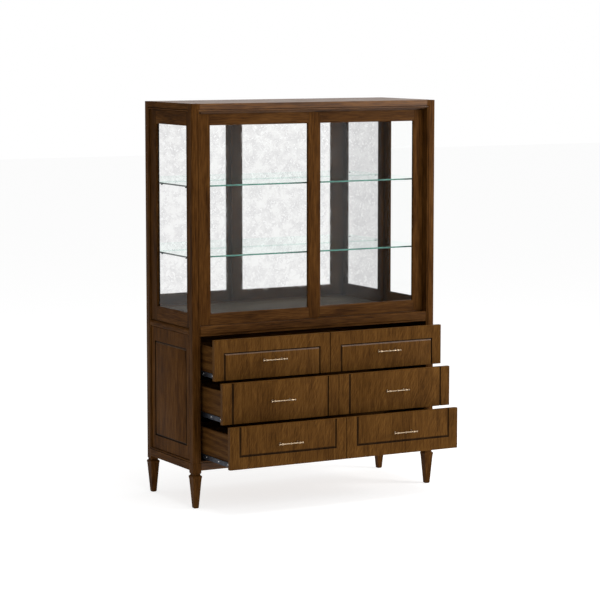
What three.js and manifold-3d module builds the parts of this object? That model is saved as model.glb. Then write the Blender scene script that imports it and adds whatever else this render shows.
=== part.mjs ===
// China cabinet: a glazed display case with two bypass sliding doors over a chest of three wide drawers.
// Millimetres, +Z up, front towards -Y. The doors are shut and the drawers stand staggered open.
import * as THREE from 'three';
import { mergeVertices } from 'three/addons/utils/BufferGeometryUtils.js';
import Module from 'manifold-3d';

const wasm = await Module();
wasm.setup();

// Overall size
const WIDTH = 1394;
const DEPTH = 530;
const HEIGHT = 2000;
const HALF = WIDTH / 2;
const GAP = 0.3;

// Case frame
const POST = 45;
const RAIL_THICKNESS = 18;
const CASE_FOOT = 178;
const BOTTOM_RAIL = [190, 238.5];
const TOP_RAIL = [1960, HEIGHT];
const BELT = [862, 897];
const BELT_THICKNESS = 26;
const SILL = [858, 908];
const SILL_DEPTH = 78;
const SIDE_RECESS = 7.5;
const SIDE_THICKNESS = 19;
const EASE = 3;

// Round bead along the inner edge of the posts and rails
const BEAD_WIDTH = 11;
const BEAD_DEPTH = 4.5;
const BEAD_RADIUS = 4.2;
const BEAD_STEPS = 6;

// Square tapered legs: a rounded collar and a notched neck under each post
const LEG_FOOT = 25;
const LEG_FOOT_CHAMFER = 3.5;
const LEG_COLLAR = 50;
const LEG_NECK = 37;
const LEG_TOP = 43;
const LEG_COLLAR_Z = [152, 166];
const LEG_NECK_Z = [169.5, 172.5];

// Glazed sides
const SIDE_STILE_FRONT = 31;
const SIDE_STILE_BACK = 70;
const SIDE_GLASS_Z = [971, 1891];
const PANE = 4;

// Sliding doors and the grooves that guide them
const DOOR_WIDTH = 667;
const DOOR_Z = [911, 1950];
const DOOR_RAIL = 57;
const DOOR_STILES = [62, 57];
const DOOR_THICKNESS = 18;
const DOOR_FRONT = { left_door: 16.5, right_door: 36 };
const DOOR_CLEARANCE = 3;
const TONGUE = 8;
const TONGUE_Z = [904.5, 1964];
const GROOVE = 10;
const GROOVE_DEPTH = 5;
const TRACK_Z = 1957;
const TRACK_GROOVE_DEPTH = 9;

// Display case inside
const FLOOR_Z = [886, 905];
const MIRROR_Y = 470;
const MIRROR_BOARD = 10;
const BACK_Y = [505, 511];
const PANEL = 16;
const SHELF_THICKNESS = 8;
const SHELF_Y = [82, 462];
const SHELF_TOPS = { shelf_upper: 1596, shelf_lower: 1246 };

// Drawers, from the top down: front's lowest and highest edge, and how far it stands open
const DRAWERS = [
  { name: 'top_drawer', z: [654.5, 855.5], open: 147.5, pullZ: 744 },
  { name: 'middle_drawer', z: [451, 652], open: 232, pullZ: 552 },
  { name: 'bottom_drawer', z: [241, 448.5], open: 310, pullZ: 351 },
];
const FRONT_RECESS = 2;
const FRONT_THICKNESS = 22;
const FRONT_GAP = 1;
const BOX_INSET = 58.7;
const BOX_DEPTH = 455;
const BOX_WALL = 12;
const BOX_FLOOR = 8;
const BOX_LIFT = 10.3;
const BOX_DROP = 42;
const SEAM_GROOVE = 3;
const SEAM_DEPTH = 5;

// Sunk line round the panels of the drawer fronts and lower sides: a square outer wall, then a slope up to the field
const LINE_FLOOR = 5;
const LINE_SLOPE = 6;
const LINE_DEPTH = 4;
const PANEL_OUTER = 52;
const PANEL_INNER = 58;
const PANEL_TOP_Z = 790;
const PANEL_BOTTOM_Z = 301;
const SIDE_LINE_MARGIN = 39;
const SIDE_LINE_Z = [305, 791];

// Drawer slides, as sections of folded steel
const STEEL = 1.5;
const SLIDE_Y = [27, 500];
const CHANNEL_DEPTH = 9.7;
const CHANNEL_Z = [5, 36];
const RUNNER_Z = [8.5, 33];
const RUNNER_WEB = 57;
const RUNNER_LIP = 52;
const RUNNER_SHELF = 70;

// Rod pulls
const PULL_X = 328;
const PULL_LENGTH = 136;
const PULL_PROJECTION = 27;
const PULL_POST_SPACING = 96;
const PULL_POST_RADIUS = 3.2;
const PULL_SIDES = 12;
const PULL_RADIUS = 5;

// The origin is under the middle of the whole stored extent, pulls and leg collars included.
const FRONT_MOST = FRONT_RECESS - DRAWERS[2].open - PULL_PROJECTION - PULL_RADIUS;
const BACK_MOST = DEPTH + (LEG_COLLAR - POST) / 2;
const ORIGIN_Y = (FRONT_MOST + BACK_MOST) / 2;

const wood = new THREE.MeshStandardMaterial({ color: 0x553a20, roughness: 0.45, metalness: 0 });
const sideWood = new THREE.MeshStandardMaterial({ color: 0x4a3219, roughness: 0.5, metalness: 0 });
const frontWood = new THREE.MeshStandardMaterial({ color: 0x583c1e, roughness: 0.42, metalness: 0 });
const boxWood = new THREE.MeshStandardMaterial({ color: 0x8a5c2a, roughness: 0.55, metalness: 0 });
const floorWood = new THREE.MeshStandardMaterial({ color: 0x4b4641, roughness: 0.3, metalness: 0 });
const backWood = new THREE.MeshStandardMaterial({ color: 0x6b5238, roughness: 0.8, metalness: 0 });
const glass = new THREE.MeshStandardMaterial({
  color: 0xdfeee8, roughness: 0.03, metalness: 0, transparent: true, opacity: 0.25,
});
const mirrorGlass = new THREE.MeshStandardMaterial({ color: 0xe1e4e4, roughness: 0.12, metalness: 1 });
const brass = new THREE.MeshStandardMaterial({ color: 0xc8a882, roughness: 0.3, metalness: 1 });
const steel = new THREE.MeshStandardMaterial({ color: 0x50565e, roughness: 0.4, metalness: 1 });

const cabinet = new THREE.Group();
cabinet.position.y = -ORIGIN_Y;

function addMesh(name, geometry, material) {
  const mesh = new THREE.Mesh(geometry, material);
  mesh.name = name;
  cabinet.add(mesh);
  return mesh;
}

// Solids for joining and cutting

function toSolid(geometry) {
  const bare = geometry.clone();
  bare.deleteAttribute('normal');
  bare.deleteAttribute('uv');
  const merged = mergeVertices(bare, 1e-4);
  return new wasm.Manifold(new wasm.Mesh({
    numProp: 3,
    vertProperties: new Float32Array(merged.attributes.position.array),
    triVerts: new Uint32Array(merged.index.array),
  }));
}

function toGeometry(solid) {
  const mesh = solid.getMesh();
  const geometry = new THREE.BufferGeometry();
  geometry.setAttribute('position', new THREE.BufferAttribute(mesh.vertProperties, 3));
  geometry.setIndex(new THREE.BufferAttribute(mesh.triVerts, 1));
  geometry.computeVertexNormals();
  return geometry;
}

function join(geometries) {
  const solids = geometries.map(toSolid);
  return toGeometry(solids.reduce((whole, next) => whole.add(next)));
}

function cut(geometry, tools) {
  return toGeometry(tools.map(toSolid).reduce((rest, tool) => rest.subtract(tool), toSolid(geometry)));
}

// Shapes

function block(x, y, z) {
  const geometry = new THREE.BoxGeometry(x[1] - x[0], y[1] - y[0], z[1] - z[0]);
  return geometry.translate((x[0] + x[1]) / 2, (y[0] + y[1]) / 2, (z[0] + z[1]) / 2);
}

function outline(points) {
  return new THREE.Shape(points.map(([a, b]) => new THREE.Vector2(a, b)));
}

function rectangle(a, b) {
  return [[a[0], b[0]], [a[1], b[0]], [a[1], b[1]], [a[0], b[1]]];
}

// Points on a circular arc, angles in degrees
function arc(centre, radius, from, to, steps = BEAD_STEPS) {
  return Array.from({ length: steps + 1 }, (_, i) => {
    const angle = THREE.MathUtils.degToRad(from + ((to - from) * i) / steps);
    return [centre[0] + radius * Math.cos(angle), centre[1] + radius * Math.sin(angle)];
  });
}

const X = new THREE.Vector3(1, 0, 0);
const Y = new THREE.Vector3(0, 1, 0);
const Z = new THREE.Vector3(0, 0, 1);

function extrude(shape, length, options = {}) {
  return new THREE.ExtrudeGeometry(shape, { depth: length, bevelEnabled: false, ...options });
}

// Section in X and Y, run up Z
function upright(points, z) {
  return extrude(outline(points), z[1] - z[0]).translate(0, 0, z[0]);
}

// Section in Y and Z, run along X
function alongX(points, x) {
  const turn = new THREE.Matrix4().makeBasis(Y, Z, X);
  return extrude(outline(points), x[1] - x[0]).applyMatrix4(turn).translate(x[0], 0, 0);
}

// Section in X and Z, run along Y
function alongY(points, y) {
  const turn = new THREE.Matrix4().makeBasis(X, Z, Y.clone().negate());
  return extrude(outline(points), y[1] - y[0]).applyMatrix4(turn).translate(0, y[1], 0);
}

// Flat picture frame in a plane, its arrises chamfered: outer and inner are [across, up] ranges
function frameShape(outer, inner) {
  const shape = outline(rectangle(...outer));
  shape.holes.push(new THREE.Path(rectangle(...inner).map(([a, b]) => new THREE.Vector2(a, b))));
  return shape;
}

function chamfered(shape, thickness, chamfer) {
  const flat = extrude(shape, thickness - 2 * chamfer, {
    bevelEnabled: true, bevelThickness: chamfer, bevelSize: chamfer, bevelOffset: -chamfer, bevelSegments: 1,
  });
  return flat.translate(0, 0, chamfer);
}

// Case frame

// Across from the outer face and in from the show face, the edge of one rounded bead
function beadOnFace(edge) {
  const centre = edge - BEAD_WIDTH / 2;
  return [
    [edge - BEAD_WIDTH, 0],
    [edge - BEAD_WIDTH + 0.6, BEAD_DEPTH],
    ...arc([centre, BEAD_DEPTH], BEAD_RADIUS, 180, 360),
    [edge, BEAD_DEPTH],
  ];
}

function easedCorner() {
  return arc([EASE, EASE], EASE, 180, 270, 3);
}

function addPosts() {
  const beadZ = [BOTTOM_RAIL[1] - BEAD_WIDTH, TOP_RAIL[0] + BEAD_WIDTH];
  const sideBead = beadOnFace(POST).map(([a, b]) => [b, a]).reverse();
  const plain = [...easedCorner(), [POST, 0], [POST, POST], [0, POST]];
  const frontBeaded = [...easedCorner(), ...beadOnFace(POST), [POST, POST], ...sideBead];
  const backBeaded = [...easedCorner(), [POST, 0], [POST, POST], ...sideBead];
  for (const [end, beaded] of [['front', frontBeaded], ['back', backBeaded]]) {
    for (const [hand, side] of [['left', -1], ['right', 1]]) {
      const place = ([a, b]) => [side * (HALF - a), end === 'front' ? b : DEPTH - b];
      const geometry = join([
        upright(plain.map(place), [CASE_FOOT, beadZ[0]]),
        upright(beaded.map(place), beadZ),
        upright(plain.map(place), [beadZ[1], HEIGHT]),
      ]);
      addMesh(`post_${end}_${hand}`, geometry, wood);
      addLeg(`leg_${end}_${hand}`, place([POST / 2, POST / 2]));
    }
  }
}

function addLeg(name, [x, y]) {
  const top = CASE_FOOT - GAP;
  const collar = LEG_COLLAR / 2;
  const halfWidths = [
    [0, 0],
    [LEG_FOOT / 2 - LEG_FOOT_CHAMFER, 0],
    [LEG_FOOT / 2, LEG_FOOT_CHAMFER],
    [collar - 1.5, LEG_COLLAR_Z[0]],
    [collar, LEG_COLLAR_Z[0] + 3],
    [collar, LEG_COLLAR_Z[1] - 4],
    [collar - 1.2, LEG_COLLAR_Z[1] - 1.2],
    [collar - 3.5, LEG_COLLAR_Z[1]],
    [LEG_NECK / 2, LEG_NECK_Z[0]],
    [LEG_NECK / 2, LEG_NECK_Z[1]],
    [LEG_TOP / 2, top],
    [0, top],
  ];
  const profile = halfWidths.map(([half, z]) => new THREE.Vector2(half * Math.SQRT2, z));
  const geometry = new THREE.LatheGeometry(profile, 4, Math.PI / 4).rotateX(Math.PI / 2);
  addMesh(name, geometry.translate(x, y, 0), wood);
}

// Rail section as [in from the show face, height], with the bead along its lower or upper edge
function beadedRail([low, high], beadUp) {
  const size = high - low;
  const inward = beadOnFace(size).map(([a, b]) => [b, a]);
  const section = [[EASE - 1, 0], [0, EASE - 1], ...inward, [RAIL_THICKNESS, size], [RAIL_THICKNESS, 0]];
  return section.map(([depth, rise]) => [depth, beadUp ? low + rise : high - rise]);
}

function addRails() {
  const front = [-HALF + POST + GAP, HALF - POST - GAP];
  const side = [POST + GAP, DEPTH - POST - GAP];
  addMesh('top_front_rail', alongX(beadedRail(TOP_RAIL, false), front), wood);
  addMesh('bottom_front_rail', alongX(beadedRail(BOTTOM_RAIL, true), front), wood);
  for (const [hand, sign] of [['left', -1], ['right', 1]]) {
    const place = ([depth, z]) => [sign * (HALF - depth), z];
    addMesh(`top_rail_${hand}`, alongY(beadedRail(TOP_RAIL, false).map(place), side), sideWood);
    addMesh(`bottom_rail_${hand}`, alongY(beadedRail(BOTTOM_RAIL, true).map(place), side), sideWood);
    const belt = [
      [BELT_THICKNESS, BELT[0]],
      ...arc([7, BELT[0] + 7], 5, 270, 180, 4),
      ...arc([12, BELT[1] - 11], 11, 180, 90, 5),
      [BELT_THICKNESS, BELT[1]],
    ];
    addMesh(`belt_rail_${hand}`, alongY(belt.map(place), side), sideWood);
  }
}

// Board between the rails whose corners are cut round the posts
function notchedBoard(x, y, z) {
  const inside = [HALF - POST - GAP, POST + GAP, DEPTH - POST - GAP];
  const half = [
    [inside[0], y[0]], [inside[0], inside[1]], [x, inside[1]],
    [x, inside[2]], [inside[0], inside[2]], [inside[0], y[1]],
  ];
  const mirrored = half.map(([a, b]) => [-a, b]).reverse();
  return upright([...half, ...mirrored], z);
}

function addBoards() {
  const inner = HALF - RAIL_THICKNESS - GAP;
  const front = RAIL_THICKNESS + GAP;
  const boardHalf = HALF - SIDE_RECESS - SIDE_THICKNESS - 2 * GAP;
  const across = [-HALF + POST + GAP, HALF - POST - GAP];
  const under = HEIGHT - PANEL - GAP;
  addMesh('top_panel', notchedBoard(inner, [front, DEPTH], [HEIGHT - PANEL, HEIGHT]), wood);
  addMesh('case_bottom', notchedBoard(inner, [front, BACK_Y[0] - GAP], [196, 208]), backWood);
  const floor = [
    [across[1] + 2 * GAP, SILL_DEPTH + GAP], [across[1] + 2 * GAP, POST + GAP],
    [boardHalf, POST + GAP], [boardHalf, MIRROR_Y - GAP],
  ];
  const floorLeft = floor.map(([a, b]) => [-a, b]).reverse();
  addMesh('display_floor', upright([...floor, ...floorLeft], FLOOR_Z), floorWood);
  const mirrorY = [MIRROR_Y, MIRROR_Y + PANE];
  const mirrorZ = [FLOOR_Z[1] + GAP, TRACK_Z - 20];
  addMesh('mirror', block([-boardHalf, boardHalf], mirrorY, mirrorZ), mirrorGlass);
  const boardY = [mirrorY[1] + GAP, mirrorY[1] + GAP + MIRROR_BOARD];
  addMesh('mirror_board', block([-boardHalf, boardHalf], boardY, [FLOOR_Z[0], under]), wood);
  addMesh('back_panel', block(across, BACK_Y, [BOTTOM_RAIL[0], under]), backWood);
}

// Channel to cut from a face round a raised field. across and up are its outer edges, and place(a, b, depth) puts a
// point that far in from the face.
function sunkLine(across, up, place) {
  const inward = ([low, high], inset) => [low + inset, high - inset];
  const ring = (inset, depth) => {
    return rectangle(inward(across, inset), inward(up, inset)).map(([a, b]) => place(a, b, depth));
  };
  const whole = wasm.Manifold.hull([...ring(0, -1), ...ring(0, LINE_DEPTH)]);
  const field = wasm.Manifold.hull([
    ...ring(LINE_FLOOR, LINE_DEPTH + 1),
    ...ring(LINE_FLOOR, LINE_DEPTH),
    ...ring(LINE_FLOOR + LINE_SLOPE, 0),
    ...ring(LINE_FLOOR + LINE_SLOPE, -1),
  ]);
  return toGeometry(whole.subtract(field));
}

// Sides

function addSides() {
  const y = [POST + GAP, DEPTH - POST - GAP];
  const outer = HALF - SIDE_RECESS;
  const openingY = [POST + SIDE_STILE_FRONT, DEPTH - POST - SIDE_STILE_BACK];
  const sashZ = [BELT[1] + GAP, TOP_RAIL[0] - GAP];
  const sash = chamfered(frameShape([y, sashZ], [openingY, SIDE_GLASS_Z]), SIDE_THICKNESS, 2);
  sash.applyMatrix4(new THREE.Matrix4().makeBasis(Y, Z, X));
  const paneX = outer - SIDE_THICKNESS / 2 - PANE / 2;
  const lineY = [y[0] + SIDE_LINE_MARGIN, y[1] - SIDE_LINE_MARGIN];
  for (const [hand, side] of [['left', -1], ['right', 1]]) {
    const start = side < 0 ? -outer : outer - SIDE_THICKNESS;
    addMesh(`side_sash_${hand}`, sash.clone().translate(start, 0, 0), sideWood);
    const paneRange = [side * paneX, side * (paneX + PANE)].sort((a, b) => a - b);
    const paneY = [openingY[0] + GAP, openingY[1] - GAP];
    const paneZ = [SIDE_GLASS_Z[0] + GAP, SIDE_GLASS_Z[1] - GAP];
    addMesh(`side_glass_${hand}`, block(paneRange, paneY, paneZ), glass);
    const panelRange = [side * outer, side * (outer - SIDE_THICKNESS)].sort((a, b) => a - b);
    const panel = block(panelRange, y, [BOTTOM_RAIL[1] + GAP, BELT[0] - GAP]);
    const line = sunkLine(lineY, SIDE_LINE_Z, (a, b, depth) => [side * (outer - depth), a, b]);
    addMesh(`lower_side_panel_${hand}`, cut(panel, [line]), sideWood);
  }
}

// Doors and their guides

function grooveY(door) {
  const middle = DOOR_FRONT[door] + DOOR_THICKNESS / 2;
  return [middle - GROOVE / 2, middle + GROOVE / 2];
}

function addGuides() {
  const across = [-HALF + POST + GAP, HALF - POST - GAP];
  const top = SILL[1];
  const grooves = Object.keys(DOOR_FRONT).map(grooveY);
  const dips = grooves.flatMap(([a, b]) => [
    [a, top], [a, top - GROOVE_DEPTH], [b, top - GROOVE_DEPTH], [b, top],
  ]);
  const sill = [
    [4, SILL[0]], [4, SILL[0] + 9], [1.5, SILL[0] + 11],
    ...arc([5.5, top - 4], 4, 180, 90, 4), ...dips, [SILL_DEPTH, top], [SILL_DEPTH, SILL[0]],
  ];
  addMesh('door_sill', alongX(sill, across), wood);
  const slots = grooves.flatMap(([a, b]) => [
    [a, TRACK_Z], [a, TRACK_Z + TRACK_GROOVE_DEPTH], [b, TRACK_Z + TRACK_GROOVE_DEPTH], [b, TRACK_Z],
  ]);
  const trackTop = HEIGHT - PANEL - GAP;
  const trackFront = RAIL_THICKNESS + GAP;
  const track = [[trackFront, TRACK_Z], ...slots, [SILL_DEPTH, TRACK_Z], [SILL_DEPTH, trackTop], [trackFront, trackTop]];
  addMesh('door_top_track', alongX(track, across), wood);
}

function addDoor(name, x) {
  const front = DOOR_FRONT[name];
  const middle = front + DOOR_THICKNESS / 2;
  const openX = [x[0] + DOOR_STILES[0], x[1] - DOOR_STILES[1]];
  const openZ = [DOOR_Z[0] + DOOR_RAIL, DOOR_Z[1] - DOOR_RAIL];
  const frame = chamfered(frameShape([x, DOOR_Z], [openX, openZ]), DOOR_THICKNESS, 2);
  frame.applyMatrix4(new THREE.Matrix4().makeBasis(X, Z, Y.clone().negate()));
  frame.translate(0, front + DOOR_THICKNESS, 0);
  const tongueX = [x[0] + 12, x[1] - 12];
  const tongueY = [middle - TONGUE / 2, middle + TONGUE / 2];
  const lower = block(tongueX, tongueY, [TONGUE_Z[0], DOOR_Z[0] + 5]);
  const upper = block(tongueX, tongueY, [DOOR_Z[1] - 5, TONGUE_Z[1]]);
  addMesh(`${name}_frame`, join([frame, lower, upper]), wood);
  const pane = [
    [openX[0] + GAP, openX[1] - GAP],
    [middle - PANE / 2, middle + PANE / 2],
    [openZ[0] + GAP, openZ[1] - GAP],
  ];
  addMesh(`${name}_glass`, block(...pane), glass);
}

function addDoors() {
  const reach = HALF - POST - DOOR_CLEARANCE;
  addDoor('left_door', [-reach, -reach + DOOR_WIDTH]);
  addDoor('right_door', [reach - DOOR_WIDTH, reach]);
}

function addShelves() {
  const half = HALF - SIDE_RECESS - SIDE_THICKNESS - 1.5;
  for (const [name, top] of Object.entries(SHELF_TOPS)) {
    const shape = outline(rectangle([-half, half], SHELF_Y));
    addMesh(name, chamfered(shape, SHELF_THICKNESS, 1).translate(0, 0, top - SHELF_THICKNESS), glass);
  }
}

// Drawers

// One tall sunk panel runs across all three fronts on each side of the middle seam
function frontGeometry(drawer, faceY) {
  const half = HALF - POST - FRONT_GAP;
  const [low, high] = drawer.z;
  const front = chamfered(outline(rectangle([-half, half], drawer.z)), FRONT_THICKNESS, 1.5);
  front.applyMatrix4(new THREE.Matrix4().makeBasis(X, Z, Y.clone().negate()));
  front.translate(0, faceY + FRONT_THICKNESS, 0);
  const seam = block([-SEAM_GROOVE / 2, SEAM_GROOVE / 2], [faceY - 1, faceY + SEAM_DEPTH], [low - 1, high + 1]);
  const lines = [-1, 1].map((side) => {
    const across = [side * PANEL_INNER, side * (half - PANEL_OUTER)].sort((a, b) => a - b);
    return sunkLine(across, [PANEL_BOTTOM_Z, PANEL_TOP_Z], (a, b, depth) => [a, faceY + depth, b]);
  });
  return cut(front, [seam, ...lines]);
}

function boxGeometry(drawer, faceY) {
  const half = HALF - BOX_INSET;
  const y = [faceY + FRONT_THICKNESS + GAP, faceY + FRONT_THICKNESS + BOX_DEPTH];
  const z = [drawer.z[0] + BOX_LIFT, drawer.z[1] - BOX_DROP];
  const hollow = block(
    [-half + BOX_WALL, half - BOX_WALL],
    [y[0] + BOX_WALL, y[1] - BOX_WALL],
    [z[0] + BOX_FLOOR, z[1] + 5],
  );
  return cut(block([-half, half], y, z), [hollow]);
}

function addSlides(drawer, faceY) {
  const low = drawer.z[0];
  const back = CHANNEL_DEPTH;
  const channel = [
    [POST + GAP, low + CHANNEL_Z[0]],
    [POST + back, low + CHANNEL_Z[0]],
    [POST + back, low + CHANNEL_Z[0] + STEEL],
    [POST + GAP + STEEL, low + CHANNEL_Z[0] + STEEL],
    [POST + GAP + STEEL, low + CHANNEL_Z[1] - STEEL],
    [POST + back, low + CHANNEL_Z[1] - STEEL],
    [POST + back, low + CHANNEL_Z[1]],
    [POST + GAP, low + CHANNEL_Z[1]],
  ];
  const runner = [
    [RUNNER_LIP, low + RUNNER_Z[1]],
    [RUNNER_LIP, low + RUNNER_Z[1] - STEEL],
    [RUNNER_WEB, low + RUNNER_Z[1] - STEEL],
    [RUNNER_WEB, low + RUNNER_Z[0]],
    [RUNNER_SHELF, low + RUNNER_Z[0]],
    [RUNNER_SHELF, low + RUNNER_Z[0] + STEEL],
    [RUNNER_WEB + STEEL - 0.1, low + RUNNER_Z[0] + STEEL],
    [RUNNER_WEB + STEEL - 0.1, low + RUNNER_Z[1]],
  ];
  const runnerY = [faceY + FRONT_THICKNESS + 2, faceY + FRONT_THICKNESS + BOX_DEPTH];
  for (const [hand, side] of [['left', -1], ['right', 1]]) {
    const place = ([inward, z]) => [side * (HALF - inward), z];
    addMesh(`${drawer.name}_channel_${hand}`, alongY(channel.map(place), SLIDE_Y), steel);
    addMesh(`${drawer.name}_runner_${hand}`, alongY(runner.map(place), runnerY), steel);
  }
}

// Radius of the rod at points along half its length, from the middle bead to the end knob
function pullProfile() {
  const half = PULL_LENGTH / 2;
  const post = PULL_POST_SPACING / 2;
  const rightHalf = [
    [0, PULL_RADIUS], [2.2, 4.4], [3.6, 2.9], [12, 3.2], [30, 4.1], [post - 9, 3.1], [post - 4, 4.8],
    [post + 4, 4.8], [post + 6, 3], [half - 7, 2.8], [half - 5, 4.4], [half - 1.5, 3.6], [half, 0],
  ];
  const leftHalf = rightHalf.slice(1).map(([x, r]) => [-x, r]).reverse();
  return [...leftHalf, ...rightHalf].map(([x, r]) => new THREE.Vector2(r, x));
}

function addPulls(drawer, faceY) {
  const rod = new THREE.LatheGeometry(pullProfile(), PULL_SIDES).rotateZ(-Math.PI / 2);
  const parts = [rod];
  for (const side of [-1, 1]) {
    const post = new THREE.CylinderGeometry(PULL_POST_RADIUS, PULL_POST_RADIUS, PULL_PROJECTION - GAP, PULL_SIDES);
    parts.push(post.translate((side * PULL_POST_SPACING) / 2, (PULL_PROJECTION - GAP) / 2, 0));
  }
  const pull = join(parts);
  for (const [hand, side] of [['left', -1], ['right', 1]]) {
    const placed = pull.clone().translate(side * PULL_X, faceY - PULL_PROJECTION, drawer.pullZ);
    addMesh(`${drawer.name}_pull_${hand}`, placed, brass);
  }
}

function addDrawers() {
  DRAWERS.forEach((drawer) => {
    const faceY = FRONT_RECESS - drawer.open;
    addMesh(`${drawer.name}_front`, frontGeometry(drawer, faceY), frontWood);
    addMesh(`${drawer.name}_box`, boxGeometry(drawer, faceY), boxWood);
    addSlides(drawer, faceY);
    addPulls(drawer, faceY);
  });
}

addPosts();
addRails();
addBoards();
addSides();
addGuides();
addDoors();
addShelves();
addDrawers();

export default cabinet;
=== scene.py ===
"""China cabinet: a glazed display case with two sliding doors over three wide drawers.

Metres throughout, +Z up, front towards -Y. Every place comes from the frame's own boxes.
"""

import math

import bmesh
import bpy
from mathutils import Matrix, Vector


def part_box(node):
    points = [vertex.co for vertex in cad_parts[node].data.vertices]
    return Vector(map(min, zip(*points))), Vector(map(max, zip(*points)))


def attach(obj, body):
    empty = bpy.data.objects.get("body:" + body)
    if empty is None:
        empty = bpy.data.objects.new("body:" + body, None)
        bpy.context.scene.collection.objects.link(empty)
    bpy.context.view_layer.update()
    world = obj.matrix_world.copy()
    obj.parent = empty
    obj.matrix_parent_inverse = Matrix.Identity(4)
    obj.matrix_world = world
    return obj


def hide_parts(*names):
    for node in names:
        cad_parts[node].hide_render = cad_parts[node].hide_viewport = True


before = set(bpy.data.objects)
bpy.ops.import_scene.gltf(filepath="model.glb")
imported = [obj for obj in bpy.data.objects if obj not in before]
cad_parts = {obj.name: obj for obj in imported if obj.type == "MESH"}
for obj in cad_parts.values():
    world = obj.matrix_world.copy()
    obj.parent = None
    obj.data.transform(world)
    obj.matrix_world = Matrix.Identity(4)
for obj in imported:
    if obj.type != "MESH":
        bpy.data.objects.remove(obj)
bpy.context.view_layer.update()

MM = 0.001

DRAWERS = ("top_drawer", "middle_drawer", "bottom_drawer")
DOORS = ("left_door", "right_door")
HANDS = (("left", -1), ("right", 1))
POSTS = ("post_front_left", "post_front_right", "post_back_left", "post_back_right")

# Case, from its own posts and rails
CASE_X = (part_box("post_front_left")[0].x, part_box("post_front_right")[1].x)
CASE_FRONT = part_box("post_front_left")[0].y
CASE_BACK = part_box("post_back_left")[1].y
OPENING_Z = (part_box("bottom_front_rail")[1].z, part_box("top_front_rail")[0].z)

# Posts and the bead round the openings
POST = 45 * MM
POST_EASE = 3 * MM
BEAD_WIDTH = 11 * MM
BEAD_DEPTH = 4.5 * MM
BEAD_RADIUS = 4.2 * MM
BEAD_BASE = 2 * MM

# Doors and side sashes; a slope is the glazing bead's width and the depth at its inner edge
DOOR_RAIL = 57 * MM
DOOR_SLOPE = (5 * MM, 2.2 * MM)
SASH_SLOPE = (2 * MM, 1.2 * MM)
PANE_GAP = 0.3 * MM
PANE_HALF = 2 * MM
TONGUE = 8 * MM
TONGUE_INSET = 12 * MM
GROOVE_HALF = 5 * MM
GROOVE_DEPTH = 5 * MM

# Sunk lines of the drawer fronts and the side panels. LINE_Z spans all three fronts, and each shows its part of it;
# LINE_OUTER is the distance from a front's end, LINE_INNER the distance from its middle
LINE_DEPTH = 4 * MM
LINE_FLOOR = 5 * MM
LINE_SLOPE = 6 * MM
LINE_OUTER = 52 * MM
LINE_INNER = 58 * MM
LINE_Z = (301 * MM, 790 * MM)
SIDE_LINE_MARGIN = 39 * MM
SIDE_LINE_Z = (305 * MM, 791 * MM)
CROWN_WIDTH = 1.5 * MM
CROWN_DEPTH = 0.35 * MM
SEAM_HALF = 1.5 * MM
SEAM_DEPTH = 5 * MM

# Drawer boxes and slides
BOX_WALL = 12 * MM
BOX_FLOOR = 8 * MM
BACK_WALL_DROP = 4 * MM
STEEL = 1.5 * MM
CHANNEL_LIP = 2.5 * MM
RUNNER_WEB = 5 * MM
RUNNER_FLANGE = 1.4 * MM
RUNNER_SCREWS = (18 * MM, 118 * MM, 250 * MM, 420 * MM)
RUNNER_SCREW_HEIGHT = 0.55
SCREW_RADIUS = 4 * MM
SCREW_HEIGHT = 1.9 * MM

# Pulls
ROD_OFFSET = 5 * MM
PULL_POST_SPACING = 96 * MM
PULL_POST_RADIUS = 3.2 * MM
PULL_POST_NECK = 0.8 * PULL_POST_RADIUS

# Shelf pins, the strips that hold the mirror with the painted shadow line beside each, and the back panel's screws
PIN_DROP = 2.6 * MM
PIN_FROM_FRONT = 45 * MM
PIN_FROM_BACK = 60 * MM
STRIP_SIZE = 13 * MM
SHADE_LINE_WIDTH = 7 * MM
SHADE_LINE_DEPTH = 0.6 * MM
BACK_SCREW_RADIUS = 3.2 * MM
BACK_SCREW_INSET = 12 * MM
BACK_SCREW_END = 30 * MM

# Scales of the noise in the finishes
FIBRE_SCALE = 190
BAND_SCALE = 19
FLECK_SCALE = 185
FLECK_PATCH_SCALE = 9
PORE_SCALE = 800
SMUDGE_SCALE = 7
BRUSH_SCALE = 420
DULL_PATCH_SCALE = 60
HAZE_SCALE = 5
RIPPLE_SCALE = 3
STREAK_SCALE = 30
CLOUD_SCALE = 22
BRIGHT_FLECK_SCALE = 78
VEIN_SCALE = 80

# Wood: shares of fibres and growth bands in the tone, and where its three colours stand
FIBRE_SHARE = 0.62
BAND_SHARE = 0.38
TONE_STOPS = (0.36, 0.5, 0.64)
FLECK_LEAN = math.radians(-24)
# Reach of the ambient occlusion that darkens corners: glaze and painted shade
GLAZE_AND_SHADE_REACH = 9 * MM
CATHEDRAL_WAVE = {"Scale": 9, "Distortion": 9, "Detail": 2, "Detail Scale": 0.55}

# Glass and mirror
GLASS_IOR = 1.5
EDGE_FROM_WITHIN = (0.93, 0.98, 0.965)
CLOUD_TONES = [(0.38, (0.77, 0.765, 0.77)), (0.5, (0.835, 0.83, 0.832)), (0.62, (0.90, 0.90, 0.895))]
# Span in x over which the mirror is painted darker toward its right end: painted shade in its reflection
PAINTED_DIM_END_X = (0.36, 0.5)

# Studio and camera; a softbox has a place, an aim, a size and a power in watts
FILL_LIGHT = 0.5
DIM_SIDE = 0.06
FLOOR_HALF = 30
PAPER_GLOW = 0.72
SOFTBOXES = {
    "key": ((4.5, -3.2, 2.2), (0, 0, 1.0), (2.2, 2.2), 230),
    "top": ((0.3, -0.9, 4.6), (0, 0.1, 1.0), (3.0, 3.0), 120),
}
CAMERA_PLACE = (-5.69703, -10.21812, 2.34726)
CAMERA_YAW = math.radians(28.9643)
CAMERA_PITCH = math.radians(6.5978)
CAMERA_LENS = 139.142
SENSOR_WIDTH = 36
CAMERA_REACH = 200


# ---------------------------------------------------------------- mesh tools


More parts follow.
